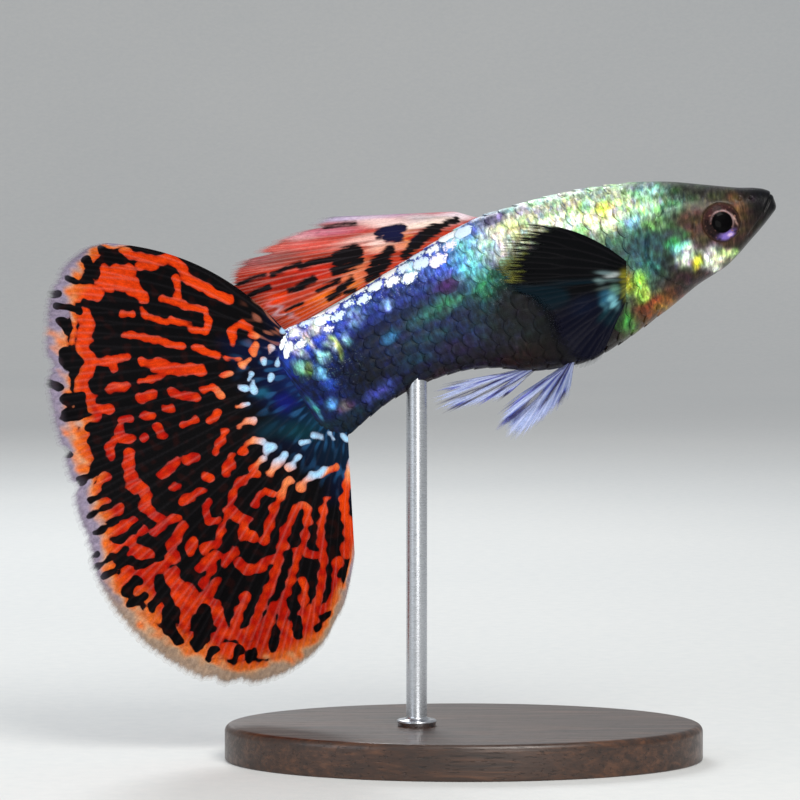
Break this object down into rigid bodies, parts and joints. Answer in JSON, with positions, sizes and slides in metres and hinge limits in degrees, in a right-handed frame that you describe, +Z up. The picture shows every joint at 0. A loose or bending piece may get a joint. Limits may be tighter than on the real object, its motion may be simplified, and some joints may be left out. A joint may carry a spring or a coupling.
{
  "type": "fancy guppy model",
  "caption": "Life-size still model of a male fancy guppy with a large fan tail and broad pectoral fins, held by one rod on an oval display base.",
  "frame": {"origin": "centre of the stand base's underside", "axes": "+X towards the snout, +Z up, the fish's right side faces -Y"},
  "size_m": [0.0461, 0.02, 0.0362],
  "materials": {
    "skin": "wet metallic scales, olive head, platinum shoulder, blue stalk",
    "eye": "clear gloss over a dark iris and a black pupil",
    "tail_fin": "satin, orange red with a black maze of markings",
    "dorsal_fin": "satin, salmon red with black spots",
    "pectoral_fin": "satin blue black",
    "belly_fin": "satin, pale blue white",
    "stand_wood": "satin, dark stained",
    "stand_steel": "brushed"
  },
  "bodies": {
    "root": {"head": "skin", "lower_jaw": "skin", "gill_cover_right": "skin", "gill_cover_left": "skin", "trunk": "skin", "tail_stalk": "skin", "eye_right": "eye", "eye_left": "eye", "fin_tail": "tail_fin", "fin_dorsal": "dorsal_fin", "fin_pectoral_right": "pectoral_fin", "fin_pectoral_left": "pectoral_fin", "fin_pelvic_right": "belly_fin", "fin_pelvic_left": "belly_fin", "fin_anal": "belly_fin", "stand_base": "stand_wood", "stand_rod": "stand_steel"}
  },
  "joints": []
}
